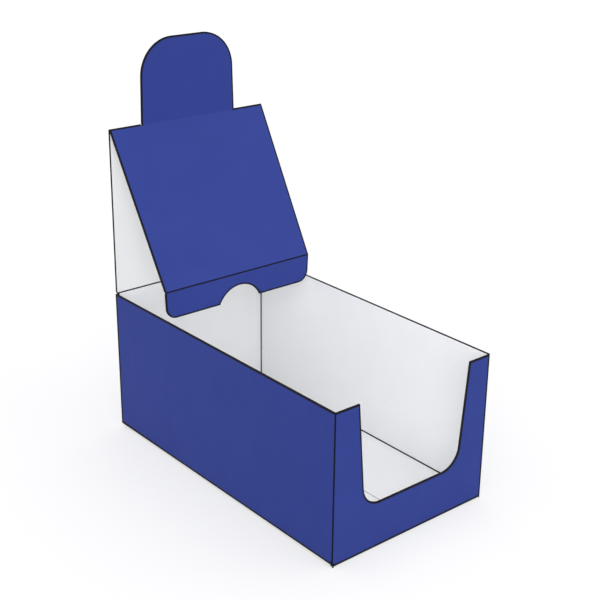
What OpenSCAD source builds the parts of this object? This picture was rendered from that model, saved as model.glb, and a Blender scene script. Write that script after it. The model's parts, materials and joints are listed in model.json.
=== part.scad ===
// Cardboard counter display box: one creased blank of thin corrugated board,
// glued at one corner and at two corners of its crash-lock base. The lid is
// folded back into a header: riser, sloping panel, tuck flap and a die-cut tab.
// The origin is the middle of the footprint, on the table. The front faces -Y.

/* [Tray] */
// Outside width of the tray, side to side
tray_w = 127; // [100:1:200]
// Outside depth of the tray, front to back
tray_d = 228.6; // [180:0.1:320]
// Height of the lid's crease line above the table
tray_h = 101.6; // [75:0.1:160]
// How far the cut top edges of the walls stay below the lid's crease line
rim_drop = 0.4; // [0.2:0.1:1]

/* [Board] */
// Thickness of the board
board_t = 1; // [0.7:0.05:1.5]
// Inside radius of a folded corner
fold_r = 0.4; // [0.2:0.05:0.8]
// Half the width of a pressed crease that the lid turns on
crease_half = 0.6; // [0.4:0.05:1]
// Thickness of the board where it is pressed into a crease
crease_t = 0.5; // [0.3:0.05:0.6]
// Thickness of the dried glue
glue_t = 0.15; // [0.1:0.01:0.3]
// Gap that the cutting knife leaves round a die-cut piece
knife_gap = 0.4; // [0.2:0.05:1]

/* [Front opening] */
// Width of each post beside the opening, at its top
post_w = 18.5; // [10:0.5:28]
// Height of the sill under the opening
sill_h = 31.5; // [20:0.5:60]
// Lean of the opening's sides, from upright
opening_lean = 5; // [0:0.5:10]
// Radius of the opening's lower corners
opening_r = 14; // [4:0.5:24]

/* [Lid] */
// Height of the riser, from crease line to crease line
riser_len = 113.5; // [90:0.5:140]
// Angle between the riser and the sloping panel while on display
display_angle = 30; // [20:1:40]
// How far the riser's foot stays inside the tray's outer face, each side
riser_inset = 0.5; // [0.2:0.1:1.5]
// How far the lid's top fold stays inside the tray's outer face, each side
fold_inset = 1; // [0.2:0.1:2]
// How far the tuck crease stays inside the tray's outer face, each side
tuck_inset = 3; // [2.4:0.1:6]
// Clearance between the tuck flap and the front panel when the lid is shut
tuck_clear = 0.5; // [0.2:0.1:1.5]

/* [Tuck flap] */
// Length of the tuck flap, from its crease line
tuck_len = 19; // [16:0.5:30]
// How much the tuck flap narrows on each side towards its free edge
tuck_taper = 0.8; // [0:0.1:3]
// Radius of the tuck flap's free corners
tuck_r = 8; // [2:0.5:12]
// Radius of the thumb notch
notch_r = 18.5; // [12:0.5:26]
// Depth of the thumb notch
notch_depth = 10.7; // [5:0.1:12]

/* [Header tab] */
// Width of the tab at its root
tab_w = 76; // [50:1:90]
// Height of the tab above its root crease
tab_h = 56; // [42:0.5:75]
// Lean of the tab's sides, from upright
tab_lean = 1.5; // [0:0.5:4]
// Radius of the tab's top corners
tab_r = 25; // [5:0.5:30]

/* [Crash-lock base] */
// Length of the front and back base flaps, from the wall's outer face
end_flap_len = 59; // [35:0.5:62]
// Slant of each end flap's free side
end_flap_lean = 12; // [0:1:25]
// Slant of each glued corner's side next to the wall
glue_corner_lean = 4; // [0:0.5:10]
// How far each side flap's long half crosses the middle line
lock_reach = 8; // [3:0.5:14]
// How far each hook reaches past the middle of the other flap
lock_hook = 6; // [2:0.5:14]
// Slant of each side flap's free end
side_flap_lean = 3; // [0:0.5:10]
// Radius of the hooks' noses
hook_r = 3; // [1:0.5:4]
// Clearance between a base flap's cut end and the wall beside it
flap_clear = 0.8; // [0.4:0.1:2]
// Bare border round the glue on a glued corner
glue_margin = 5; // [2:0.5:8]

/* [Side seam] */
// Width of the glue flap inside the left wall
seam_flap_w = 15; // [10:0.5:25]
// Slant of the glue flap's cut ends
seam_flap_lean = 15; // [0:1:30]
// How far the left wall's cut edge stops short of the back face
seam_step = 0.3; // [0:0.1:1]
// Bare border round the glue on the glue flap
seam_margin = 2.5; // [1:0.5:4]

/* [Hidden] */

// Turn of each straight step that stands for a stretch of an arc
arc_step = 7.5;
BLUE = [0.231, 0.278, 0.580];
PALE = [0.898, 0.906, 0.914];
GLUE = [0.93, 0.90, 0.78];
// Cutting shapes reach this far past what they cut
past = 5;

// A folded corner is a quarter ring: the board bent round its inside radius
ring_r = fold_r + board_t;
rim_z = tray_h - rim_drop;
// The side flaps lie on the end flaps, so the side walls' creases sit higher
side_base_z = board_t + glue_t;
// The back panel is narrower: its glue flap goes inside the left wall
seam_inset = board_t + glue_t;
// The lid turns on the inner face of the back panel
hinge_y = tray_d / 2 - board_t;
// The shut lid ends where its tuck flap drops behind the front panel
slope_len = tray_d - 3 * board_t - riser_len - tuck_clear;
fold_angle = 180 - display_angle;

// Width of the lid's panels at their creases
riser_foot_w = tray_w - 2 * riser_inset;
fold_w = tray_w - 2 * fold_inset;
tuck_crease_w = tray_w - 2 * tuck_inset;
hole_w = tab_w + 2 * knife_gap;

function direction(angle) = [cos(angle), sin(angle)];

// Points on a circle's arc about c, from angle a to angle b
function arc(c, r, a, b) =
    let (steps = ceil(abs(b - a) / arc_step))
    [for (i = [0 : steps]) c + r * direction(a + (steps > 0 ? (b - a) * i / steps : 0))];

// A rounded corner of an outline that runs anticlockwise. The sharp corner is
// the point at; the edge to the next corner leaves it at angle a, and the edge
// to the corner before leaves it at angle b.
function corner(at, a, b, r) =
    let (half = (b - a) / 2)
    arc(at + r / sin(half) * direction(a + half), r, b - 270, a - 90);

// Points of an upright outline w wide at y = 0, drawn from y = foot to h, with
// sides that lean in and both top corners rounded. The points of a notch in
// its top edge run from right to left.
function arch_points(w, foot, h, lean, r, notch = []) =
    let (foot_half = w / 2 - foot * tan(lean), top_half = w / 2 - h * tan(lean))
    concat(
        [[-foot_half, foot], [foot_half, foot]],
        corner([top_half, h], 180, 270 + lean, r),
        notch,
        corner([-top_half, h], 270 - lean, 360, r));

// A four-sided outline that narrows from foot_w to top_w over y0 to y1
module taper_outline(foot_w, top_w, y0, y1) {
    polygon([
        [-foot_w / 2, y0],
        [foot_w / 2, y0],
        [top_w / 2, y1],
        [-top_w / 2, y1]]);
}

// Section of board that runs straight for run_a, bends about the origin from
// angle a to angle b, and runs straight again for run_b
function bent_board(a, b, r_in, r_out, run_a, run_b) =
    let (
        outer = arc([0, 0], r_out, a, b),
        inner = r_in > 0 ? arc([0, 0], r_in, b, a) : [[0, 0]],
        back = run_a * direction(a - 90),
        on = run_b * direction(b + 90))
    concat(
        run_a > 0 ? [inner[len(inner) - 1] + back, outer[0] + back] : [],
        outer,
        run_b > 0 ? [outer[len(outer) - 1] + on, inner[0] + on] : [],
        inner);

// Sets a section that is drawn in Y and Z, and makes it as long as x0 to x1
module along_x(x0, x1) {
    rotate([90, 0, 90])
        translate([0, 0, x0])
        linear_extrude(x1 - x0)
        children();
}

// Walls and base flaps are drawn with their outer face at y = 0 and the
// inside of the tray towards +Y, and are then turned into their places.

// A wall seen from above, with half of the fold at each end that has one
module wall_plan(x0, x1, left_fold, right_fold) {
    left = [x0 + ring_r, ring_r];
    right = [x1 - ring_r, ring_r];
    polygon(concat(
        left_fold ? arc(left, ring_r, 225, 270) : [[x0, 0]],
        right_fold ? arc(right, ring_r, 270, 315) : [[x1, 0]],
        right_fold ? arc(right, fold_r, 315, 270) : [[x1, board_t]],
        left_fold ? arc(left, fold_r, 270, 225) : [[x0, board_t]]));
}

// What is cut from a wall's foot, in Y and Z about the axis of its base fold:
// all but its own half of that fold
module fold_waste() {
    polygon(concat(
        [[-ring_r - past, 0]],
        arc([0, 0], ring_r, 180, 225),
        arc([0, 0], fold_r, 225, 180),
        [[past, 0], [past, -ring_r - past], [-ring_r - past, -ring_r - past]]));
}

// One wall: a flat panel with half of each corner fold and of its base fold
module wall(x0, x1, base_z, top_z, left_fold, right_fold) {
    flat_x0 = left_fold ? x0 + ring_r : x0 - past;
    flat_x1 = right_fold ? x1 - ring_r : x1 + past;
    difference() {
        translate([0, 0, base_z])
            linear_extrude(top_z - base_z)
            wall_plan(x0, x1, left_fold, right_fold);
        translate([0, ring_r, base_z + ring_r])
            along_x(flat_x0, flat_x1)
            fold_waste();
    }
}

// One base flap: the other half of the base fold and a flat stretch, as long
// as the sheet runs, cut to the outline that is given
module base_flap(x0, x1, base_z, run) {
    intersection() {
        translate([0, ring_r, base_z + ring_r])
            along_x(x0 - past, x1 + past)
            polygon(bent_board(225, 270, fold_r, ring_r, 0, run));
        translate([0, 0, base_z - past])
            linear_extrude(2 * past)
            children();
    }
}

// Places for the walls: front, right, back and left
module at_front() {
    translate([0, -tray_d / 2, 0]) children();
}

module at_right() {
    translate([tray_w / 2, 0, 0]) rotate([0, 0, 90]) children();
}

module at_back() {
    translate([0, tray_d / 2, 0]) rotate([0, 0, 180]) children();
}

module at_left() {
    translate([-tray_w / 2, 0, 0]) rotate([0, 0, 270]) children();
}

// Places for the lid's creases, each in the frame of the panel before it.
// In these frames +Y runs along the board and +Z points out of its inner face.
module at_riser() {
    translate([0, hinge_y, tray_h]) rotate([90, 0, 0]) children();
}

module at_slope() {
    at_riser() translate([0, riser_len, 0]) rotate([fold_angle, 0, 0]) children();
}

module at_tuck() {
    at_slope() translate([0, slope_len, 0]) rotate([display_angle, 0, 0]) children();
}

// The tab turns on the printed face of the sloping panel's top edge. Its own
// +Z points out of its printed face.
module at_tab() {
    at_slope() translate([0, 0, -board_t]) rotate([180 + display_angle, 0, 0]) children();
}

// A flat lid panel lies just under the plane of its inner face
module lid_board() {
    translate([0, 0, -board_t])
        linear_extrude(board_t)
        children();
}

// The pressed strip of a crease: it runs on from one panel, bends by angle
// and meets the next. r_in and r_out are its faces' distances from the axis.
module crease_strip(x0, x1, angle, r_in, r_out) {
    along_x(x0, x1)
        polygon(bent_board(270, 270 + angle, r_in, r_out, crease_half, crease_half));
}

// The opening in the front, drawn upside down as an arch and turned over
module opening_outline() {
    opening_h = rim_z - sill_h;
    foot_w = tray_w - 2 * post_w;
    widen = 2 * past * tan(opening_lean);
    translate([0, rim_z + past])
        mirror([0, 1])
        polygon(arch_points(foot_w + widen, 0, opening_h + past, opening_lean, opening_r));
}

module front_panel() {
    color(BLUE)
        difference() {
            at_front() wall(-tray_w / 2, tray_w / 2, 0, rim_z, true, true);
            translate([0, -tray_d / 2 + past, 0])
                rotate([90, 0, 0])
                linear_extrude(2 * past)
                opening_outline();
        }
}

// Its back edge is cut, and lies outside the glue flap
module left_side_panel() {
    color(BLUE)
        at_left() wall(seam_step - tray_d / 2, tray_d / 2, side_base_z, rim_z, false, true);
}

module right_side_panel() {
    color(BLUE)
        at_right() wall(-tray_d / 2, tray_d / 2, side_base_z, rim_z, true, true);
}

// Its top ends at the crease that the lid turns on
module back_panel() {
    color(BLUE)
        at_back()
        wall(-tray_w / 2, tray_w / 2 - seam_inset, 0, tray_h - crease_half, true, true);
}

// Outline of the glue flap from its own fold, as width across and height,
// drawn in by margin: its ends slant in
module seam_flap_outline(margin) {
    foot = side_base_z + ring_r + flap_clear + margin;
    top = rim_z - flap_clear - margin;
    slant = (seam_flap_w - ring_r) * tan(seam_flap_lean);
    polygon([
        [ring_r + margin, foot],
        [seam_flap_w - margin, foot + slant],
        [seam_flap_w - margin, top - slant],
        [ring_r + margin, top]]);
}

// Sets an outline drawn as width across and height on the plane x = x0, thick
// towards +X, with its width running forward from the back corner
module on_left_wall(x0, thick) {
    translate([x0, tray_d / 2, 0])
        rotate([90, 0, 270])
        translate([0, 0, -thick])
        linear_extrude(thick)
        children();
}

// The two wedges that the glue flap's slanted ends leave of its full height
module seam_flap_waste(foot, top) {
    reach = seam_flap_w - ring_r + past;
    slant = reach * tan(seam_flap_lean);
    for (end = [[foot, 1], [top, -1]])
        polygon([
            [ring_r, end[0]],
            [ring_r, end[0] - end[1] * past],
            [ring_r + reach, end[0] - end[1] * past],
            [ring_r + reach, end[0] + end[1] * slant]]);
}

module glue_flap() {
    flap_x = seam_inset - tray_w / 2;
    fold_x = flap_x + ring_r;
    foot = side_base_z + ring_r + flap_clear;
    top = rim_z - flap_clear;
    color(PALE)
        difference() {
            translate([fold_x, tray_d / 2 - ring_r, foot])
                linear_extrude(top - foot)
                polygon(bent_board(135, 180, fold_r, ring_r, 0, seam_flap_w - ring_r));
            on_left_wall(flap_x - past, board_t + 2 * past)
                seam_flap_waste(foot, top);
        }
}

module side_seam_glue() {
    color(GLUE)
        on_left_wall(board_t - tray_w / 2, glue_t)
        seam_flap_outline(seam_margin);
}

// A side flap seen from its wall's outer face, with X along the wall. One half
// crosses the middle line, and its hook catches the other side flap's.
module side_flap_outline() {
    end_x = tray_d / 2 - board_t - flap_clear;
    middle_y = tray_w / 2;
    slant = atan(lock_reach / lock_hook);
    step_back = knife_gap / 2 / sin(slant);
    reach = lock_reach - knife_gap / 2;
    retreat = -lock_reach - knife_gap / 2;
    hook = [step_back - reach / tan(slant), middle_y + reach];
    hollow = [step_back - retreat / tan(slant), middle_y + retreat];
    drop = (hollow[1] - ring_r) * tan(side_flap_lean);
    polygon(concat(
        [[-end_x, 0], [end_x, 0], [end_x, hook[1]]],
        corner(hook, 360 - slant, 360, hook_r),
        [hollow, [drop - end_x, hollow[1]], [-end_x, ring_r]]));
}

module base_left_flap() {
    color(PALE)
        at_left()
        base_flap(-tray_d / 2, tray_d / 2, side_base_z, tray_w)
        side_flap_outline();
}

module base_right_flap() {
    rotate([0, 0, 180]) base_left_flap();
}

// The end flaps' sides: one has the glued corner, and the other is cut free,
// clear of the narrower back panel's fold
function glued_x() = -tray_w / 2 + ring_r + flap_clear;
function free_x() = tray_w / 2 - seam_inset - ring_r - flap_clear;
// How far a base flap's flat part runs from its fold
function end_flap_run() = end_flap_len - ring_r;

// The front end flap, from the wall's outer face: its left side is the slanted
// crease of the glued corner
module end_flap_outline() {
    polygon([
        [glued_x(), ring_r],
        [glued_x(), 0],
        [free_x(), 0],
        [free_x(), ring_r],
        [free_x() - end_flap_run() * tan(end_flap_lean), end_flap_len],
        [glued_x() + end_flap_run(), end_flap_len]]);
}

// The three-cornered piece beyond the slanted crease, drawn in by margin
module glue_corner_outline(margin) {
    side = margin * (1 + sqrt(2));
    top = end_flap_len - margin;
    foot = ring_r + side;
    polygon([
        [glued_x() + margin, foot],
        [glued_x() + top - ring_r - margin * sqrt(2), top],
        [glued_x() + margin + (top - ring_r) * tan(glue_corner_lean), top]]);
}

module base_front_flap() {
    color(BLUE)
        at_front()
        base_flap(-tray_w / 2, tray_w / 2, 0, tray_d / 2)
        end_flap_outline();
}

module base_back_flap() {
    rotate([0, 0, 180]) base_front_flap();
}

module base_front_glue_corner() {
    color(BLUE)
        at_front() linear_extrude(board_t) glue_corner_outline(0);
}

module base_back_glue_corner() {
    rotate([0, 0, 180]) base_front_glue_corner();
}

// The glue between each glued corner and the side flap that lies on it
module base_corner_glue() {
    color(GLUE)
        for (turn = [0, 180])
            rotate([0, 0, turn])
                at_front()
                translate([0, 0, board_t])
                linear_extrude(glue_t)
                glue_corner_outline(glue_margin);
}

// The tab was cut out of the riser, and leaves its own shape as a hole
module lid_riser() {
    color(BLUE)
        at_riser()
        lid_board()
        difference() {
            taper_outline(riser_foot_w, fold_w, crease_half, riser_len - crease_half);
            translate([0, riser_len])
                mirror([0, 1])
                polygon(arch_points(hole_w, 0, tab_h + knife_gap, tab_lean, tab_r + knife_gap));
        }
}

module lid_sloping_panel() {
    color(BLUE)
        at_slope()
        lid_board()
        taper_outline(fold_w, tuck_crease_w, crease_half, slope_len - crease_half);
}

module lid_tuck_flap() {
    lean = atan(tuck_taper / tuck_len);
    rise = notch_r - notch_depth;
    mouth = asin(rise / notch_r);
    notch = arc([0, tuck_len + rise], notch_r, -mouth, mouth - 180);
    color(BLUE)
        at_tuck()
        lid_board()
        polygon(arch_points(tuck_crease_w, crease_half, tuck_len, lean, tuck_r, notch));
}

module header_tab() {
    color(BLUE)
        at_tab()
        lid_board()
        polygon(arch_points(tab_w, crease_half, tab_h, tab_lean, tab_r));
}

// Its left end is in line with the narrower back panel
module riser_crease() {
    color(BLUE)
        at_riser()
        crease_strip(
            max(seam_inset, riser_inset) - tray_w / 2,
            riser_foot_w / 2,
            0,
            board_t - crease_t,
            board_t);
}

// The top fold is creased on both sides of the tab, and cut along the tab
module top_fold_crease() {
    color(BLUE)
        at_riser()
        translate([0, riser_len, 0])
        for (side = [-1, 1]) {
            inner = side * hole_w / 2;
            outer = side * fold_w / 2;
            crease_strip(
                min(inner, outer),
                max(inner, outer),
                fold_angle,
                board_t - crease_t,
                board_t);
        }
}

module tuck_crease() {
    color(BLUE)
        at_slope()
        translate([0, slope_len, 0])
        crease_strip(
            -tuck_crease_w / 2,
            tuck_crease_w / 2,
            display_angle,
            board_t - crease_t,
            board_t);
}

// The tab's root is pressed from the unprinted side, so the print runs on
module tab_crease() {
    color(BLUE)
        at_slope()
        translate([0, 0, -board_t])
        rotate([180, 0, 0])
        crease_strip(-tab_w / 2, tab_w / 2, display_angle, 0, crease_t);
}

front_panel();
left_side_panel();
back_panel();
right_side_panel();
glue_flap();
side_seam_glue();
base_left_flap();
base_right_flap();
base_front_flap();
base_back_flap();
base_front_glue_corner();
base_back_glue_corner();
base_corner_glue();
lid_riser();
lid_sloping_panel();
lid_tuck_flap();
header_tab();
riser_crease();
top_fold_crease();
tuck_crease();
tab_crease();
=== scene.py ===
import json
import math
from collections import namedtuple
from itertools import groupby

import bmesh
import bpy
from mathutils import Matrix, Vector


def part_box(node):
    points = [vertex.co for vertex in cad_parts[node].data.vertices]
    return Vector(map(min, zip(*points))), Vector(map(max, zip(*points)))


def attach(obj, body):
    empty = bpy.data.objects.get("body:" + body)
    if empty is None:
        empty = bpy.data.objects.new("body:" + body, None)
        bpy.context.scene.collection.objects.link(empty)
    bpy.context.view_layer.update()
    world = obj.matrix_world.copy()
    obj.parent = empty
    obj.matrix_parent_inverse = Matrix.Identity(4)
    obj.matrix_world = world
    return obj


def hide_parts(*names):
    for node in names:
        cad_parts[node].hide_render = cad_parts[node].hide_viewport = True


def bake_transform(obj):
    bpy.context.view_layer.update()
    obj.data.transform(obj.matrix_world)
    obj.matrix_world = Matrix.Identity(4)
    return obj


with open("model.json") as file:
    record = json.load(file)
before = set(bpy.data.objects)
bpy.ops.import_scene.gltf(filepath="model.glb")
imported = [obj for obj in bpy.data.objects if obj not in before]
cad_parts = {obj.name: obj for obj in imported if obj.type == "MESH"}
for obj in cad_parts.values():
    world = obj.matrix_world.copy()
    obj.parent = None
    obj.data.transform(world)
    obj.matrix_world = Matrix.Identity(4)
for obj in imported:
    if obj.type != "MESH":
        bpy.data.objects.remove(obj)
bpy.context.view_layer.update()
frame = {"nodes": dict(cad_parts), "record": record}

scene = bpy.context.scene
scene.view_settings.view_transform = "Standard"


# Camera
# It stands in front of the box's left corner and looks down on it, where the
# eye of the drawing is.

image_px = 600
focal_px = 1210.27
sensor_mm = 36.0
eye = Vector((-0.46163, -0.55784, 0.40851))
sight = Vector((0.59587407, 0.71084350, -0.37367842))
to_right = Vector((0.76875603, -0.63947302, 0.00941038))

camera_data = bpy.data.cameras.new("camera")
camera_data.sensor_width = sensor_mm
camera_data.lens = sensor_mm * focal_px / image_px
camera = bpy.data.objects.new("camera", camera_data)
to_top = to_right.cross(sight)
camera.matrix_world = Matrix.Translation(eye) @ Matrix(
    (to_right, to_top, -sight)).transposed().to_4x4()
scene.collection.objects.link(camera)
scene.camera = camera


# Front wall
# One panel of a single creased blank. The blank is micro-flute board: a blue
# printed liner, a wavy middle sheet with upright flutes and a pale liner
# inside. A U-shaped opening is die-cut in this panel, and shows the raw edge.


def new_material(name):
    """A bare material, its nodes and links, and its surface shader."""
    material = bpy.data.materials.new(name)
    material.use_nodes = True
    nodes, links = material.node_tree.nodes, material.node_tree.links
    nodes.clear()
    output = nodes.new("ShaderNodeOutputMaterial")
    surface = nodes.new("ShaderNodeBsdfPrincipled")
    links.new(surface.outputs["BSDF"], output.inputs["Surface"])
    return material, nodes, links, surface


def board_attribute(nodes, attribute):
    """What each point of the board knows. blank is its place on the flat blank:
    across the flutes, along them, piece. cut and crease are its distances to the
    nearest cut edge and crease."""
    found = nodes.new("ShaderNodeAttribute")
    found.attribute_name = attribute
    return found


def noise(nodes, links, place, scale, detail, stretch=(1, 1, 1)):
    """Noise with so many features to the metre."""
    mapping = nodes.new("ShaderNodeMapping")
    mapping.inputs["Scale"].default_value = stretch
    links.new(place, mapping.inputs["Vector"])
    texture = nodes.new("ShaderNodeTexNoise")
    texture.inputs["Scale"].default_value = scale
    texture.inputs["Detail"].default_value = detail
    links.new(mapping.outputs["Vector"], texture.inputs["Vector"])
    return texture.outputs["Fac"]


def maths(nodes, links, operation, first, second=None, third=None):
    """The result of a sum, each of whose terms is a number or a socket."""
    node = nodes.new("ShaderNodeMath")
    node.operation = operation
    for socket, value in zip(node.inputs, (first, second, third)):
        if value is None:
            continue
        if isinstance(value, (int, float)):
            socket.default_value = value
        else:
            links.new(value, socket)
    return node.outputs["Value"]


def mask(nodes, links, value, low, high):
    """0 where value is under low, 1 where it is over high, smooth between."""
    node = nodes.new("ShaderNodeMapRange")
    node.interpolation_type = "SMOOTHSTEP"
    node.inputs["From Min"].default_value = low
    node.inputs["From Max"].default_value = high
    links.new(value, node.inputs["Value"])
    return node.outputs["Result"]


def mixed(nodes, links, factor, first, second):
    """The first colour where the factor is 0, and the second where it is 1."""
    node = nodes.new("ShaderNodeMix")
    node.data_type = "RGBA"
    links.new(factor, node.inputs["Factor"])
    for socket, colour in ((node.inputs["A"], first), (node.inputs["B"], second)):
        if isinstance(colour, tuple):
            socket.default_value = colour
        else:
            links.new(colour, socket)
    return node.outputs["Result"]


flute_pitch = 0.0024


def paper_relief(nodes, links, place, surface, washboard, fibre):
    """Fibres, and the flutes that show through a liner, as heights in metres."""
    split = nodes.new("ShaderNodeSeparateXYZ")
    links.new(place, split.inputs["Vector"])
    phase = maths(nodes, links, "MULTIPLY", split.outputs["X"], math.tau / flute_pitch)
    wave = maths(nodes, links, "COSINE", phase)
    grain = noise(nodes, links, place, scale=2600, detail=3.0, stretch=(1, 0.35, 1))
    waves = maths(nodes, links, "MULTIPLY", wave, washboard)
    height = maths(nodes, links, "MULTIPLY_ADD", grain, fibre, waves)
    bump = nodes.new("ShaderNodeBump")
    bump.inputs["Distance"].default_value = 1.0
    links.new(height, bump.inputs["Height"])
    links.new(bump.outputs["Normal"], surface.inputs["Normal"])


# A dark colour for two marks: a line along cut edges, and painted crease shade, which darkens the
# creases and, more broadly, the wall feet and corners where shade falls.
dark_line_and_crease_shade = (0.0060, 0.0065, 0.0110, 1)
line_wander = 0.00006
line_blur = 0.00008


def off_lines_and_crease_shade(nodes, links, place, cut_width, crease_width):
    """0 on the dark lines along cut edges and on the painted shade in creases, and 1 off them."""
    wander = noise(nodes, links, place, scale=900, detail=2.0)
    clear = None
    for attribute, width in (("cut", cut_width), ("crease", crease_width)):
        distance = board_attribute(nodes, attribute).outputs["Fac"]
        distance = maths(nodes, links, "MULTIPLY_ADD", wander, line_wander, distance)
        off = mask(nodes, links, distance, low=width, high=width + line_blur)
        clear = off if clear is None else maths(nodes, links, "MINIMUM", clear, off)
    return clear


print_blue = (0.0300, 0.0502, 0.2570, 1)
print_light = (0.0318, 0.0525, 0.2660, 1)
print_line = 0.00110
# Width of the painted shade along each crease.
print_crease_shade = 0.00050
varnish_roughness = 0.48
varnish_rub = 0.16


def blue_print():
    """Blue ink under a satin varnish, with a dark line on every cut edge and painted shade darkening
    every crease.
    """
    material, nodes, links, surface = new_material("blue_print")
    place = board_attribute(nodes, "blank").outputs["Vector"]
    cloud = noise(nodes, links, place, scale=38, detail=3.0)
    light = mask(nodes, links, cloud, low=0.3, high=0.7)
    colour = mixed(nodes, links, light, print_blue, print_light)
    off_lines_and_shade = off_lines_and_crease_shade(nodes, links, place, print_line, print_crease_shade)
    # Here the lines along cut edges and the painted crease shade are mixed in.
    colour = mixed(nodes, links, off_lines_and_shade, dark_line_and_crease_shade, colour)
    links.new(colour, surface.inputs["Base Color"])
    rubbed = noise(nodes, links, place, scale=160, detail=5.0, stretch=(1, 0.3, 1))
    sheen = maths(nodes, links, "MULTIPLY_ADD", rubbed, varnish_rub, varnish_roughness)
    links.new(sheen, surface.inputs["Roughness"])
    surface.inputs["Specular IOR Level"].default_value = 0.09
    paper_relief(nodes, links, place, surface, washboard=0.0000050, fibre=0.0000050)
    return material


pale_paper = (0.930, 0.935, 0.944, 1)
pale_shade = (0.912, 0.918, 0.930, 1)
fleck_brown = (0.0480, 0.0390, 0.0330, 1)
pale_line = 0.00055
# Width of the painted shade along each crease.
pale_crease_shade = 0.00058


def pale_liner():
    """Uncoated pale paper, with fibres, flecks, a dark line along cut edges and painted shade
    darkening the creases.
    """
    material, nodes, links, surface = new_material("pale_liner")
    place = board_attribute(nodes, "blank").outputs["Vector"]
    cloud = noise(nodes, links, place, scale=55, detail=4.0, stretch=(1, 0.6, 1))
    shade = mask(nodes, links, cloud, low=0.3, high=0.75)
    colour = mixed(nodes, links, shade, pale_paper, pale_shade)
    specks = noise(nodes, links, place, scale=1500, detail=2.0, stretch=(1, 0.4, 1))
    flecks = mask(nodes, links, specks, low=0.74, high=0.80)
    colour = mixed(nodes, links, flecks, colour, fleck_brown)
    off_lines_and_shade = off_lines_and_crease_shade(nodes, links, place, pale_line, pale_crease_shade)
    # Here the lines along cut edges and the painted crease shade are mixed in.
    colour = mixed(nodes, links, off_lines_and_shade, dark_line_and_crease_shade, colour)
    links.new(colour, surface.inputs["Base Color"])
    surface.inputs["Roughness"].default_value = 0.86
    surface.inputs["Specular IOR Level"].default_value = 0.2
    paper_relief(nodes, links, place, surface, washboard=0.0000060, fibre=0.0000110)
    return material


core_brown = (0.0200, 0.0165, 0.0150, 1)
core_light = (0.0480, 0.0390, 0.0330, 1)


def raw_core():
    """The dark recycled paper that shows where the board is cut."""
    material, nodes, links, surface = new_material("raw_core")
    place = board_attribute(nodes, "blank").outputs["Vector"]
    fibres = noise(nodes, links, place, scale=1800, detail=4.0, stretch=(1, 0.5, 1))
    light = mask(nodes, links, fibres, low=0.35, high=0.75)
    colour = mixed(nodes, links, light, core_brown, core_light)
    links.new(colour, surface.inputs["Base Color"])
    surface.inputs["Roughness"].default_value = 0.92
    surface.inputs["Specular IOR Level"].default_value = 0.15
    paper_relief(nodes, links, place, surface, washboard=0.0, fibre=0.0000150)
    return material


board_materials = (blue_print(), pale_liner(), raw_core())
PRINTED, PALE, RAW = 0, 1, 2

arc_turn = math.radians(3)


def rounded(corners):
    """The points round an outline of corners (u, v, radius, kind of edge after it), and the kind of
    edge after each point. cut, trim and bare are cuts with a dark line, a broad one and none; the
    broad one goes with the painted crease shade. fold and bend fold the board, with painted crease
    shade as a line and as a broad one. score is a crease that lies flat. At join the sheet runs on."""
    points, edges = [], []
    for i, (u, v, radius, edge) in enumerate(corners):
        tip = Vector((u, v))
        if radius == 0:
            points.append((u, v))
            edges.append(edge)
            continue
        following = corners[(i + 1) % len(corners)]
        back = (Vector(corners[i - 1][:2]) - tip).normalized()
        on = (Vector(following[:2]) - tip).normalized()
        half = back.angle(on) / 2
        centre = tip + (back + on).normalized() * radius / math.sin(half)
        first = tip + back * radius / math.tan(half) - centre
        turn = math.pi - 2 * half
        if back.x * on.y - back.y * on.x > 0:
            turn = -turn
        steps = max(2, round(abs(turn) / arc_turn))
        for step in range(steps + 1):
            spoke = Matrix.Rotation(turn * step / steps, 2) @ first
            points.append((centre.x + spoke.x, centre.y + spoke.y))
            edges.append(corners[i - 1][3] if step < steps else edge)
    return points, edges


nearly_straight = 1e-4


def meeting(points, i, depth_before, depth_after):
    """Where the edges before and after corner i cross once each is drawn in."""
    tip = Vector(points[i])
    before = (tip - Vector(points[i - 1])).normalized()
    after = (Vector(points[(i + 1) % len(points)]) - tip).normalized()
    in_before = Vector((-before.y, before.x))
    in_after = Vector((-after.y, after.x))
    sine = before.x * after.y - before.y * after.x
    if abs(sine) < nearly_straight:
        return tuple(tip + in_after * max(depth_before, depth_after))
    gap = in_after * depth_after - in_before * depth_before
    run = (gap.x * after.y - gap.y * after.x) / sine
    return tuple(tip + in_before * depth_before + before * run)


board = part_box("lid_riser")[1].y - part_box("lid_riser")[0].y
liner = 0.00016
far_away = 0.01
place_digits = 7
same_place = 1e-7

# A point of a flat pattern. u is its place across the flutes, v along them, and part the half fold
# that it is in. cut is how far the nearest cut edge is. The nearest crease is crease + turned *
# radius away, where turned is the angle up to it. On the print, broad comes off that, for a broad
# line of painted crease shade.
Point = namedtuple("Point", "u v part cut crease turned broad")


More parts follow.
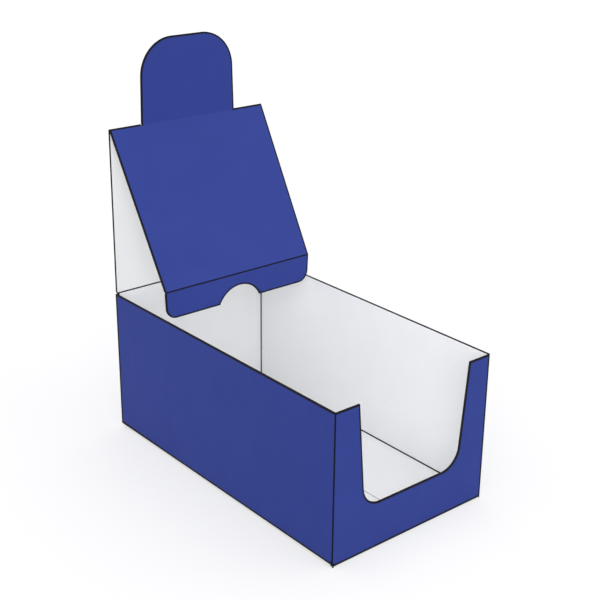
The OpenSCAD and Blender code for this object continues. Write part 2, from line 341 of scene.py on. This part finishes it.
class Sheet:
    """A flat pattern of faces, with its joins to other pieces of the blank."""

    def __init__(self):
        self.index = {}
        self.points = []
        self.faces = []
        self.curved = []
        self.joins = []

    def point(self, u, v, part="", cut=far_away, crease=far_away, turned=0.0, broad=0.0):
        """The number of a point, which is a new one only where there is none yet."""
        key = (round(u, place_digits), round(v, place_digits), part)
        if key not in self.index:
            self.index[key] = len(self.points)
            self.points.append(Point(u, v, part, cut, crease, turned, broad))
        return self.index[key]

    def face(self, corners, curved=False):
        """A face, unless so many of its corners are the same that none is left."""
        corners = [corner for i, corner in enumerate(corners) if corner != corners[i - 1]]
        if len(corners) > 2:
            self.faces.append(corners)
            self.curved.append(curved)

    def set_back(self, u, v, depth):
        """A point, moved in from the join that it is on, or else as it is."""
        for start, stop in self.joins:
            along = (Vector(stop) - Vector(start)).normalized()
            offset = Vector((u, v)) - Vector(start)
            if abs(along.x * offset.y - along.y * offset.x) < same_place:
                return u - along.y * depth, v + along.x * depth
        return u, v

    def outer_edges(self):
        """The edges that only one face has, and whether each is a join."""
        sides = {}
        for corners in self.faces:
            for i, last in enumerate(corners):
                first = corners[i - 1]
                sides.setdefault(frozenset((first, last)), []).append((first, last))
        for found in sides.values():
            if len(found) == 1:
                first, last = (Vector(self.points[end][:2]) for end in found[0])
                middle = tuple((first + last) / 2)
                yield found[0], self.set_back(*middle, liner) != middle


band = 0.0024
border_reach = 0.0014
fold_inside = 0.0004
fold_outside = fold_inside + board
fold_middle = (fold_inside + fold_outside) / 2
half_fold = math.radians(45)
fold_steps = 8


def add_folds(sheet, limits, folds):
    """Half a fold on each side that folds names, with faces that go on from the
    points along that side. Each half turns the board halfway to the next panel."""
    low_u, high_u, low_v = limits
    flat = list(sheet.points)
    turns = [half_fold * step / fold_steps for step in range(fold_steps + 1)]
    for side, edge_u, sign in (("left", low_u, -1), ("right", high_u, 1)):
        if side not in folds:
            continue
        rows = sorted({(p.v, p.cut, p.broad) for p in flat if abs(p.u - edge_u) < same_place})
        if "foot" in folds:
            rows.insert(0, (low_v - fold_outside, far_away, rows[0][2]))
        for near_turn, far_turn in zip(turns, turns[1:]):
            for low, high in zip(rows, rows[1:]):
                corners = [
                    sheet.point(
                        edge_u + sign * fold_middle * turn, v, side if v < low_v - same_place else "",
                        cut, 0.0, half_fold - turn, broad)
                    for turn, (v, cut, broad) in (
                        (near_turn, low), (far_turn, low), (far_turn, high), (near_turn, high))]
                sheet.face(corners if sign > 0 else corners[::-1], True)
    if "foot" in folds:
        columns = sorted({(p.u, p.cut, p.broad) for p in flat if abs(p.v - low_v) < same_place})
        for near_turn, far_turn in zip(turns, turns[1:]):
            for left, right in zip(columns, columns[1:]):
                corners = [
                    sheet.point(
                        u, low_v - fold_middle * turn, "foot" if turn else "",
                        cut, 0.0, half_fold - turn, broad)
                    for turn, (u, cut, broad) in (
                        (far_turn, left), (far_turn, right), (near_turn, right), (near_turn, left))]
                sheet.face(corners, True)


def pattern(points, edges, folds):
    """The faces of one panel: its flat part, a band along every edge that is cut
    or creased, and its folds. limits are the left, right and lower ends of the
    flat part, where the folds start."""
    sheet = Sheet()
    count = len(points)

    def measured(u, v, distances):
        """A point that is as far from each kind of edge as distances says."""
        cut = distances.get("cut", far_away)
        creases = [
            (distances[kind] - broad, distances[kind], turned, broad)
            for kind, turned, broad in (
                ("score", 0.0, 0.0), ("fold", half_fold, 0.0),
                ("bend", half_fold, border_reach), ("trim", 0.0, border_reach))
            if kind in distances]
        nearest = min(creases)[1:] if creases else (far_away, 0.0, 0.0)
        return sheet.point(u, v, "", cut, *nearest)

    starts, ends, insides = [], [], []
    for i in range(count):
        before, after = edges[i - 1], edges[i]
        deep = {kind: band for kind in (before, after) if kind not in ("join", "bare")}
        inside = measured(*meeting(points, i, deep.get(before, 0), deep.get(after, 0)), deep)
        tip = measured(*points[i], {kind: 0 for kind in deep})
        start = end = tip
        if len(deep) == 2:
            end = measured(*meeting(points, i, 0, band), {before: 0, after: band})
            start = measured(*meeting(points, i, band, 0), {before: band, after: 0})
            sheet.face([tip, start, inside, end])
        starts.append(start)
        ends.append(end)
        insides.append(inside)
        if after == "join":
            sheet.joins.append((points[i], points[(i + 1) % count]))
    for i in range(count):
        following = (i + 1) % count
        if edges[i] not in ("join", "bare"):
            sheet.face([starts[i], ends[following], insides[following], insides[i]])
    sheet.face(insides)

    across, along = zip(*points)
    limits = (min(across), max(across), min(along))
    add_folds(sheet, limits, folds)
    return sheet, limits


def folded(u, v, depth, part, limits, folds):
    """Where a point of the flat pattern comes to lie, depth below the print."""
    low_u, high_u, low_v = limits
    radius = fold_outside - depth
    if "left" in folds and u < low_u:
        turn = (low_u - u) / fold_middle
        return low_u - radius * math.sin(turn), v, radius * math.cos(turn) - fold_outside
    if "right" in folds and u > high_u:
        turn = (u - high_u) / fold_middle
        return high_u + radius * math.sin(turn), v, radius * math.cos(turn) - fold_outside
    if part == "foot":
        turn = (low_v - v) / fold_middle
        return u, low_v - radius * math.sin(turn), radius * math.cos(turn) - fold_outside
    return u, v, -depth


def crossings(points, u):
    """Where an upright line at u goes into and out of an outline, in pairs."""
    found = []
    for i, last in enumerate(points):
        first = points[i - 1]
        if (first[0] < u) != (last[0] < u):
            share = (u - first[0]) / (last[0] - first[0])
            found.append(first[1] + share * (last[1] - first[1]))
    found.sort()
    return list(zip(found[::2], found[1::2]))


class BoardMesh:
    """A mesh of board, whose points know their place on the flat blank and how
    far they are from the nearest cut edge and crease."""

    def __init__(self, piece):
        self.piece = piece
        self.mesh = bmesh.new()
        self.blank = self.mesh.verts.layers.float_vector.new("blank")
        self.cut = self.mesh.verts.layers.float.new("cut")
        self.crease = self.mesh.verts.layers.float.new("crease")

    def vertex(self, where, across, along, cut=far_away, crease=far_away):
        made = self.mesh.verts.new(where)
        made[self.blank] = (across, along, self.piece)
        made[self.cut] = cut
        made[self.crease] = crease
        return made

    def face(self, corners, material, curved=False):
        made = self.mesh.faces.new(corners)
        made.material_index = material
        made.smooth = curved

    def piece_of_board(self, name):
        """The finished mesh as an object, with the points that no face uses gone."""
        loose = [vertex for vertex in self.mesh.verts if not vertex.link_faces]
        bmesh.ops.delete(self.mesh, geom=loose, context="VERTS")
        data = bpy.data.meshes.new(name)
        self.mesh.to_mesh(data)
        self.mesh.free()
        for material in board_materials:
            data.materials.append(material)
        made = bpy.data.objects.new(name, data)
        scene.collection.objects.link(made)
        return made


def add_liners(board_mesh, vertex, sheet):
    """The printed liner and the pale one. Where the board is cut, each shows its
    own thin edge. At a join, a strip between them closes the board."""
    layers = [
        [vertex(*sheet.set_back(u, v, inward), depth, *rest) for u, v, *rest in sheet.points]
        for depth, inward in ((0.0, 0.0), (liner, liner), (board - liner, liner), (board, 0.0))]
    for corners, curved in zip(sheet.faces, sheet.curved):
        for layer, material in ((0, PRINTED), (2, RAW)):
            board_mesh.face([layers[layer][c] for c in corners], material, curved)
        for layer, material in ((1, RAW), (3, PALE)):
            board_mesh.face([layers[layer][c] for c in reversed(corners)], material, curved)
    outer_edges = list(sheet.outer_edges())
    in_joins = {end for ends, joined in outer_edges if joined for end in ends}
    for (first, last), joined in outer_edges:
        for upper, lower in ((0, 3), (2, 1)) if joined else ((0, 1), (2, 3)):
            upper, lower = layers[upper], layers[lower]
            board_mesh.face(
                [upper[last], upper[first], lower[first], lower[last]], PALE if joined else RAW)
        for end, order in ((first, (1, 0, 3, 2)), (last, (0, 1, 2, 3))):
            if end in in_joins and not joined:
                board_mesh.face([layers[layer][end] for layer in order], RAW)


wave_paper = 0.00010
wave_steps = 10
wave_clearance = 0.00002


def add_wavy_sheet(board_mesh, vertex, sheet, points, limits, folds):
    """The wavy sheet between the liners. A fold crushes its flutes flat."""
    low_u, high_u = limits[:2]
    start = low_u - (fold_middle * half_fold if "left" in folds else 0)
    stop = high_u + (fold_middle * half_fold if "right" in folds else 0)
    count = max(2, round((stop - start) / flute_pitch * wave_steps))
    swing = board / 2 - liner - wave_paper / 2
    columns = []
    for i in range(count + 1):
        u = start + wave_clearance + (stop - start - 2 * wave_clearance) * i / count
        fullness = 1.0
        if "left" in folds:
            fullness = min(fullness, max(0, u - low_u) / flute_pitch)
        if "right" in folds:
            fullness = min(fullness, max(0, high_u - u) / flute_pitch)
        middle = board / 2 + swing * fullness * math.cos(math.tau * u / flute_pitch)
        over, under = middle - wave_paper / 2, middle + wave_paper / 2
        inside = min(max(u, low_u + wave_clearance), high_u - wave_clearance)
        columns.append([])
        for foot, top in crossings(points, inside):
            foot = sheet.set_back(inside, foot, liner)[1] + wave_clearance
            top = sheet.set_back(inside, top, liner)[1] - wave_clearance
            columns[-1].append([
                vertex(u, v, depth)
                for v, depth in ((foot, over), (top, over), (top, under), (foot, under))])
    for _, run in groupby(columns, key=len):
        run = list(run)
        if len(run) < 2:
            continue
        for here, there in zip(run, run[1:]):
            for a, b in zip(here, there):
                for i in range(4):
                    board_mesh.face([a[i - 1], b[i - 1], b[i], a[i]], RAW)
        for first, last in zip(run[0], run[-1]):
            board_mesh.face(first, RAW)
            board_mesh.face(last[::-1], RAW)


def board_panel(name, frame_matrix, outline, folds, piece):
    """One panel of board: two liners and the wavy sheet between them. piece moves
    the paper's own pattern on, so that the panels differ."""
    points, edges = outline
    sheet, limits = pattern(points, edges, folds)
    board_mesh = BoardMesh(piece)

    def vertex(u, v, depth, part="", cut=far_away, crease=far_away, turned=0.0, broad=0.0):
        """A point of the pattern, folded into place at a depth below the print."""
        where = frame_matrix @ Vector(folded(u, v, depth, part, limits, folds))
        away = crease + turned * (fold_outside - depth)
        return board_mesh.vertex(where, u, v, cut, away if depth else away - broad)

    add_liners(board_mesh, vertex, sheet)
    add_wavy_sheet(board_mesh, vertex, sheet, points, limits, folds)
    return board_mesh.piece_of_board(name)


tray_half_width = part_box("right_side_panel")[1].x
tray_front, tray_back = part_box("front_panel")[0].y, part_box("back_panel")[1].y
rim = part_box("front_panel")[1].z
post_width = 0.0185
sill = 0.0315
opening_lean = math.radians(5)
opening_radius = 0.014


def panel_frame(origin, up, out):
    """A panel's own axes: across, up along the flutes, and out of its print."""
    up, out = Vector(up), Vector(out)
    turned = Matrix((up.cross(out), up, out)).transposed().to_4x4()
    return Matrix.Translation(origin) @ turned


flat_half = tray_half_width - fold_outside
opening_top = tray_half_width - post_width
opening_foot = opening_top - (rim - sill) * math.tan(opening_lean)
front_outline = rounded([
    (-flat_half, fold_outside, 0, "bend"),
    (flat_half, fold_outside, 0, "bend"),
    (flat_half, rim, 0, "cut"),
    (opening_top, rim, 0, "cut"),
    (opening_foot, sill, opening_radius, "cut"),
    (-opening_foot, sill, opening_radius, "cut"),
    (-opening_top, rim, 0, "cut"),
    (-flat_half, rim, 0, "fold")])
front_wall = board_panel(
    "front_wall", panel_frame((0, tray_front, 0), (0, 0, 1), (0, -1, 0)),
    front_outline, ("left", "right", "foot"), piece=0.1)
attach(front_wall, "tray")
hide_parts("front_panel")


# Right wall
# A plain oblong panel of the same board, folded back from the front wall. Its
# base crease sits one board higher, because its flap lies on the end flaps.

side_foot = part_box("right_side_panel")[0].z + fold_outside
side_half = tray_back - fold_outside
right_outline = rounded([
    (-side_half, side_foot, 0, "bend"),
    (side_half, side_foot, 0, "bend"),
    (side_half, rim, 0, "cut"),
    (-side_half, rim, 0, "bend")])
right_wall = board_panel(
    "right_wall", panel_frame((tray_half_width, 0, 0), (0, 0, 1), (1, 0, 0)),
    right_outline, ("left", "right", "foot"), piece=0.2)
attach(right_wall, "tray")
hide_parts("right_side_panel")


# Left wall
# The last panel of the blank, of the same board. Its back edge is cut, and is
# glued over the glue flap that turns in from the back wall.

left_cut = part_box("left_side_panel")[1].y
left_outline = rounded([
    (-left_cut, side_foot, 0, "bend"),
    (side_half, side_foot, 0, "fold"),
    (side_half, rim, 0, "cut"),
    (-left_cut, rim, 0, "trim")])
left_wall = board_panel(
    "left_wall", panel_frame((-tray_half_width, 0, 0), (0, 0, 1), (-1, 0, 0)),
    left_outline, ("right", "foot"), piece=0.3)
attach(left_wall, "tray")
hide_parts("left_side_panel")


# Back wall
# The panel of board that carries the lid, and runs on over a crease into it. It
# is one board narrower than the front, so that its glue flap goes inside the
# left wall.

back_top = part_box("back_panel")[1].z
back_left = -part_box("back_panel")[0].x - fold_outside * math.sin(half_fold)
back_outline = rounded([
    (-flat_half, fold_outside, 0, "bend"),
    (back_left, fold_outside, 0, "fold"),
    (back_left, back_top, 0, "join"),
    (-flat_half, back_top, 0, "bend")])
back_wall = board_panel(
    "back_wall", panel_frame((0, tray_back, 0), (0, 0, 1), (0, 1, 0)),
    back_outline, ("left", "right", "foot"), piece=0.4)
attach(back_wall, "tray")
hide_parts("back_panel")


# Glue flap
# A narrow flap of board with slanted ends, folded in from the back wall. It
# lies flat inside the left wall, and white carton glue holds it there.

flap_low, flap_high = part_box("glue_flap")
flap_slant = math.radians(15)
flap_start = fold_outside - tray_back
flap_end = -flap_low.y
flap_drop = (flap_end - flap_start) * math.tan(flap_slant)
flap_outline = rounded([
    (flap_start, flap_low.z, 0, "cut"),
    (flap_end, flap_low.z + flap_drop, 0, "cut"),
    (flap_end, flap_high.z - flap_drop, 0, "cut"),
    (flap_start, flap_high.z, 0, "fold")])
seam_flap = board_panel(
    "seam_flap", panel_frame((flap_low.x, 0, 0), (0, 0, 1), (-1, 0, 0)),
    flap_outline, ("left",), piece=0.5)
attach(seam_flap, "tray")
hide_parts("glue_flap")


glue_thin = (0.84, 0.79, 0.66, 1)
glue_thick = (0.74, 0.68, 0.54, 1)
glue_roughness = 0.25
glue_dull = 0.3
glue_ripple = 0.00003


def dried_glue():
    """White carton glue, dried to a slightly shiny, milky film with ripples."""
    material, nodes, links, surface = new_material("dried_glue")
    where = nodes.new("ShaderNodeTexCoord").outputs["Object"]
    ripples = noise(nodes, links, where, scale=420, detail=3.0)
    thick = mask(nodes, links, ripples, low=0.3, high=0.7)
    links.new(mixed(nodes, links, thick, glue_thin, glue_thick), surface.inputs["Base Color"])
    shine = maths(nodes, links, "MULTIPLY_ADD", ripples, glue_dull, glue_roughness)
    links.new(shine, surface.inputs["Roughness"])
    bump = nodes.new("ShaderNodeBump")
    bump.inputs["Distance"].default_value = glue_ripple
    links.new(ripples, bump.inputs["Height"])
    links.new(bump.outputs["Normal"], surface.inputs["Normal"])
    return material


glue_film = dried_glue()
for glued in ("side_seam_glue", "base_corner_glue"):
    slots = frame["nodes"][glued].data.materials
    slots.clear()
    slots.append(glue_film)


# Base side flaps
# Two long flaps of board, folded in from the side walls, that make the floor of
# the tray. One half of each crosses the middle line, and their die-cut hooks
# catch when the base snaps flat.

hook_across = 0.008
hook_along = 0.006
hook_nose = 0.003
knife_gap = 0.0004
free_end_slant = math.radians(3)
side_flap_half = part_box("base_left_flap")[1].y
hook_slant = math.atan(hook_across / hook_along)
step_back = knife_gap / 2 / math.sin(hook_slant)
hook_v = tray_half_width + hook_across - knife_gap / 2
hollow_v = tray_half_width - hook_across - knife_gap / 2


def line_u(v):
    """How far along the wall the hook's slanted cut is at v from the wall."""
    return step_back - (v - tray_half_width) / math.tan(hook_slant)


end_drop = (hollow_v - fold_outside) * math.tan(free_end_slant)
side_flap_outline = rounded([
    (-side_flap_half, fold_outside, 0, "bend"),
    (side_flap_half, fold_outside, 0, "bare"),
    (side_flap_half - end_drop, hollow_v, 0, "bare"),
    (-line_u(hollow_v), hollow_v, 0, "bare"),
    (-line_u(hook_v), hook_v, hook_nose, "bare"),
    (-side_flap_half, hook_v, 0, "bare")])
flap_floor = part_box("base_left_flap")[0].z
for name, node, side, piece in (
        ("floor_flap_left", "base_left_flap", -1, 0.6),
        ("floor_flap_right", "base_right_flap", 1, 0.7)):
    floor_flap = board_panel(
        name, panel_frame((side * tray_half_width, 0, flap_floor), (-side, 0, 0), (0, 0, -1)),
        side_flap_outline, ("foot",), piece)
    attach(floor_flap, "tray")
    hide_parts(node)


# Base end flaps
# Two flaps of board from the front and back walls, which fold in first and
# carry the side flaps. Beyond a slanted crease each has a three-cornered piece
# that is glued under the side flap beside it.

end_flap_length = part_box("base_front_flap")[1].y - tray_front
free_side_slant = math.radians(12)
corner_slant = math.radians(4)
end_flap_run = end_flap_length - fold_outside
glued_side = -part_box("base_front_flap")[0].x
free_side = -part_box("base_front_flap")[1].x
end_flap_outline = rounded([
    (free_side, fold_outside, 0, "bend"),
    (glued_side, fold_outside, 0, "score"),
    (glued_side - end_flap_run, end_flap_length, 0, "cut"),
    (free_side + end_flap_run * math.tan(free_side_slant), end_flap_length, 0, "cut")])
glue_corner_outline = rounded([
    (glued_side, fold_outside, 0, "cut"),
    (glued_side - end_flap_run * math.tan(corner_slant), end_flap_length, 0, "cut"),
    (glued_side - end_flap_run, end_flap_length, 0, "score")])
for end, side, piece in (("front", -1, 0.8), ("back", 1, 0.9)):
    axes = panel_frame((0, side * tray_back, 0), (0, -side, 0), (0, 0, -1))
    for name, outline, folds, node in (
            ("end_flap_", end_flap_outline, ("foot",), "base_%s_flap"),
            ("glued_corner_", glue_corner_outline, (), "base_%s_glue_corner")):
        base_piece = board_panel(name + end, axes, outline, folds, piece)
        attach(base_piece, "tray")
        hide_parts(node % end)


# Lid riser
# The first half of the lid, of the same board. It stands on the back wall's
# crease, with the shape of the raised tab die-cut out of its top edge.

pivots = {
    joint["name"]: Vector(joint["pos_m"]) for joint in frame["record"]["behaviour"]["joints"]}
lid_hinge, top_hinge = pivots["lid_shut"], pivots["top_fold_opens"]
tuck_hinge, tab_hinge = pivots["tuck_bends"], pivots["tab_bends"]
crease_half = 0.0006
tab_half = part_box("tab_crease")[1].x
tab_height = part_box("header_tab")[1].z - tab_hinge.z
tab_lean = math.radians(1.5)
tab_radius = 0.025
riser_length = top_hinge.z - lid_hinge.z
riser_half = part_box("lid_riser")[1].x
fold_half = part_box("top_fold_crease")[1].x
riser_foot, riser_top = crease_half, riser_length - crease_half
hole_depth = tab_height + knife_gap
hole_half = tab_half + knife_gap
hole_end = riser_length - hole_depth


def hole_side(v):
    """Half the width of the tab's hole at height v on the riser."""
    return hole_half - (riser_length - v) * math.tan(tab_lean)


riser_outline = rounded([
    (-riser_half, riser_foot, 0, "join"),
    (riser_half, riser_foot, 0, "cut"),
    (fold_half, riser_top, 0, "join"),
    (hole_side(riser_top), riser_top, 0, "cut"),
    (hole_side(hole_end), hole_end, tab_radius + knife_gap, "cut"),
    (-hole_side(hole_end), hole_end, tab_radius + knife_gap, "cut"),
    (-hole_side(riser_top), riser_top, 0, "join"),
    (-fold_half, riser_top, 0, "cut")])
riser = board_panel(
    "riser", panel_frame((0, tray_back, lid_hinge.z), (0, 0, 1), (0, 1, 0)),
    riser_outline, (), piece=1.0)
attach(riser, "riser")
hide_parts("lid_riser")


# Sloping panel
# The second half of the lid, of the same board. It is folded down to the front
# at 30 degrees from the riser, and shows its printed face.

slope_length = (tuck_hinge - top_hinge).length
down_slope = (tuck_hinge - top_hinge).normalized()
slope_out = down_slope.cross(Vector((1, 0, 0)))
tuck_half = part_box("tuck_crease")[1].x
slope_outline = rounded([
    (-fold_half, crease_half, 0, "join"),
    (fold_half, crease_half, 0, "cut"),
    (tuck_half, slope_length - crease_half, 0, "join"),
    (-tuck_half, slope_length - crease_half, 0, "cut")])
slope_face = panel_frame(top_hinge + slope_out * board, down_slope, slope_out)
sloping_panel = board_panel("sloping_panel", slope_face, slope_outline, (), piece=1.1)
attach(sloping_panel, "sloping_panel")
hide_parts("lid_sloping_panel")


# Tuck flap
# The board flap at the lid's end, which hangs from the sloping panel's crease.
# Two rounded corners and a thumb notch are die-cut in its free edge.

tuck_length = tuck_hinge.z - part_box("lid_tuck_flap")[0].z
tuck_taper = 0.0008
tuck_radius = 0.008
notch_radius = 0.0185
notch_depth = 0.0107
notch_steps = 44


def tuck_side(v):
    """Half the width of the tuck flap at v from its crease."""
    return tuck_half - tuck_taper * v / tuck_length


notch_rise = notch_radius - notch_depth
mouth = math.asin(notch_rise / notch_radius)
notch_turns = [mouth + (math.pi - 2 * mouth) * i / notch_steps for i in range(notch_steps + 1)]
notch_centre = tuck_length + notch_rise
tuck_outline = rounded([
    (-tuck_side(crease_half), crease_half, 0, "join"),
    (tuck_side(crease_half), crease_half, 0, "cut"),
    (tuck_side(tuck_length), tuck_length, tuck_radius, "cut"),
    *[(notch_radius * math.cos(turn), notch_centre - notch_radius * math.sin(turn), 0, "cut")
      for turn in notch_turns],
    (-tuck_side(tuck_length), tuck_length, tuck_radius, "cut")])
tuck_flap = board_panel(
    "tuck_flap", panel_frame(tuck_hinge + Vector((0, -board, 0)), (0, 0, -1), (0, -1, 0)),
    tuck_outline, (), piece=1.2)
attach(tuck_flap, "tuck")
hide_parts("lid_tuck_flap")


# Raised tab
# The piece of board that was die-cut out of the riser. It stays creased to the
# sloping panel, and stands up over the top fold with two large rounded corners.

tab_outline = rounded([
    (-tab_half, crease_half, 0, "join"),
    (tab_half, crease_half, 0, "cut"),
    (tab_half - tab_height * math.tan(tab_lean), tab_height, tab_radius, "cut"),
    (tab_height * math.tan(tab_lean) - tab_half, tab_height, tab_radius, "cut")])
raised_tab = board_panel(
    "raised_tab", panel_frame(tab_hinge, (0, 0, 1), (0, -1, 0)), tab_outline, (), piece=1.3)
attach(raised_tab, "tab")
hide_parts("header_tab")


# Lid creases
# Pressed lines on which the lid turns. The rule has crushed the board there to half its thickness, so
# each is a thin strip, bent to lie between its two panels.

bend_steps = 24
run_steps = 6
crushed_board = board / 2
pivot_on_pale = (board - crushed_board, board, (PALE, PRINTED), (True, True))
pivot_on_print = (0, crushed_board, (PRINTED, PALE), (False, True))


def crease_strip(name, pivot, span, first, turn, sides, shade_share, piece):
    """A strip of crushed board, bent by turn from the angle first. sides says how far its near and
    far side are from the pivot, what they are, and whether they have a dark line of painted crease
    shade. The share after sides is how much of the bend the painted shade spans."""
    near, far, faces, lines = sides
    strip = BoardMesh(piece)
    low_x, high_x = span
    columns = ((low_x, 0), (low_x + band, band), (high_x - band, band), (high_x, 0))
    runs = [crease_half * i / run_steps for i in range(run_steps + 1)]
    shares = [i / bend_steps for i in range(bend_steps + 1)] if turn else [0]
    stations = [(0, -run) for run in reversed(runs[1:])]
    stations += [(share, 0) for share in shares]
    stations += [(1, run) for run in runs[1:]]
    skins = []
    for radius, lined in (
            (near, lines[0]), (near + liner, False), (far - liner, False), (far, lines[1])):
        rows = []
        for share, run in stations:
            angle = first + turn * share
            out = Vector((0, math.cos(angle), math.sin(angle)))
            on = Vector((0, -math.sin(angle), math.cos(angle)))
            where = pivot + out * radius + on * run
            crease = abs(run) + radius * abs(turn) * max(0, abs(share - 0.5) - shade_share / 2)
            rows.append([
                strip.vertex(where + Vector((x, 0, 0)), x, run, cut, crease if lined else far_away)
                for x, cut in columns])
        skins.append(rows)
    for skin, material in ((skins[0], faces[0]), (skins[3], faces[1])):
        for here, there in zip(skin, skin[1:]):
            for i in range(len(columns) - 1):
                strip.face([here[i], there[i], there[i + 1], here[i + 1]], material, True)
    for under, over in zip(skins, skins[1:]):
        for i in (0, -1):
            for k in range(len(stations) - 1):
                strip.face([under[k][i], under[k + 1][i], over[k + 1][i], over[k][i]], RAW)
        for k in (0, -1):
            for i in range(len(columns) - 1):
                strip.face([under[k][i], under[k][i + 1], over[k][i + 1], over[k][i]], RAW)
    bmesh.ops.remove_doubles(strip.mesh, verts=strip.mesh.verts, dist=same_place)
    bmesh.ops.recalc_face_normals(strip.mesh, faces=strip.mesh.faces)
    return strip.piece_of_board(name)


def out_of(angle, radius):
    """The way from a pivot to a point at an angle and a radius."""
    return Vector((0, math.cos(angle), math.sin(angle))) * radius


slope_angle = math.atan2(slope_out.z, slope_out.y)
hang_angle = math.pi
riser_span = (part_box("riser_crease")[0].x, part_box("riser_crease")[1].x)
for name, node, bodies, pivot, span, first, last, sides, shade_share, piece in (
        ("riser_fold", "riser_crease", ("tray", "riser"),
         lid_hinge, riser_span, 0, 0, pivot_on_pale, 0, 1.4),
        ("top_fold_left", "top_fold_crease", ("riser", "sloping_panel"),
         top_hinge, (-fold_half, -hole_half), 0, slope_angle, pivot_on_pale, 1, 1.5),
        ("top_fold_right", "top_fold_crease", ("riser", "sloping_panel"),
         top_hinge, (hole_half, fold_half), 0, slope_angle, pivot_on_pale, 1, 1.6),
        ("tuck_fold", "tuck_crease", ("sloping_panel", "tuck"),
         tuck_hinge, (-tuck_half, tuck_half), slope_angle, hang_angle, pivot_on_pale, 0, 1.7),
        ("tab_fold", "tab_crease", ("sloping_panel", "tab"),
         tab_hinge, (-tab_half, tab_half), slope_angle - math.pi, 0, pivot_on_print, 0, 1.8)):
    fold = crease_strip(name, pivot, span, first, last - first, sides, shade_share, piece)
    far = sides[1]
    start, end = pivot + out_of(first, far), pivot + out_of(last, far)
    if last == first:
        start, end = start - Vector((0, 0, crease_half)), end + Vector((0, 0, crease_half))
    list(bodies)
    tuple(start)
    tuple(end)
    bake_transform(fold)
    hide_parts(node)


# Photo table
# A plain white table and a white backdrop under even, soft light. The table
# takes the box's shadow, and the camera sees the rest of both as white paper.

table_level = -0.0002
table_reach = 8.0
table_paper = (0.55, 0.55, 0.555, 1)
shadow_paper = (0.40, 0.40, 0.41, 1)
table_glow = 0.58
sky_light = 0.87


def seen_white(nodes, links):
    """1 for what the camera sees, straight or in a glossy or clear surface."""
    path = nodes.new("ShaderNodeLightPath")
    seen = path.outputs["Is Camera Ray"]
    for ray in ("Is Glossy Ray", "Is Transmission Ray"):
        seen = maths(nodes, links, "MAXIMUM", seen, path.outputs[ray])
    return seen


def white_table():
    """White paper to the camera, with a soft shadow left on it."""
    material, nodes, links, plain = new_material("white_table")
    plain.inputs["Base Color"].default_value = table_paper
    plain.inputs["Roughness"].default_value = 0.9
    shaded = nodes.new("ShaderNodeBsdfDiffuse")
    shaded.inputs["Color"].default_value = shadow_paper
    glow = nodes.new("ShaderNodeEmission")
    glow.inputs["Strength"].default_value = table_glow
    shown = nodes.new("ShaderNodeAddShader")
    links.new(shaded.outputs["BSDF"], shown.inputs[0])
    links.new(glow.outputs["Emission"], shown.inputs[1])
    either = nodes.new("ShaderNodeMixShader")
    links.new(seen_white(nodes, links), either.inputs["Fac"])
    links.new(plain.outputs["BSDF"], either.inputs[1])
    links.new(shown.outputs["Shader"], either.inputs[2])
    links.new(either.outputs["Shader"], nodes["Material Output"].inputs["Surface"])
    return material


table_data = bpy.data.meshes.new("table_top")
table_corners = [
    (x * table_reach, y * table_reach, table_level)
    for x, y in ((-1, -1), (1, -1), (1, 1), (-1, 1))]
table_data.from_pydata(table_corners, [], [(0, 1, 2, 3)])
table_data.materials.append(white_table())
table_top = bpy.data.objects.new("table_top", table_data)
scene.collection.objects.link(table_top)

world = bpy.data.worlds.new("studio")
world.use_nodes = True
sky_nodes, sky_links = world.node_tree.nodes, world.node_tree.links
sky = sky_nodes["Background"]
sky.inputs["Color"].default_value = (1, 1, 1, 1)
shown_white = seen_white(sky_nodes, sky_links)
sky_links.new(
    maths(sky_nodes, sky_links, "MULTIPLY_ADD", shown_white, 1 - sky_light, sky_light),
    sky.inputs["Strength"])
scene.world = world

for name, towards, softness, power in (
        ("key_light", (-0.84, -0.97, 0.53), 50, 1.08),
        ("fill_light", (0.70, -0.80, 0.70), 60, 0.30),
        ("top_light", (0.20, 0.30, 1.00), 60, 0.25)):
    lamp_data = bpy.data.lights.new(name, "SUN")
    lamp_data.angle = math.radians(softness)
    lamp_data.energy = power
    lamp = bpy.data.objects.new(name, lamp_data)
    lamp.rotation_euler = Vector(towards).to_track_quat("Z", "Y").to_euler()
    scene.collection.objects.link(lamp)
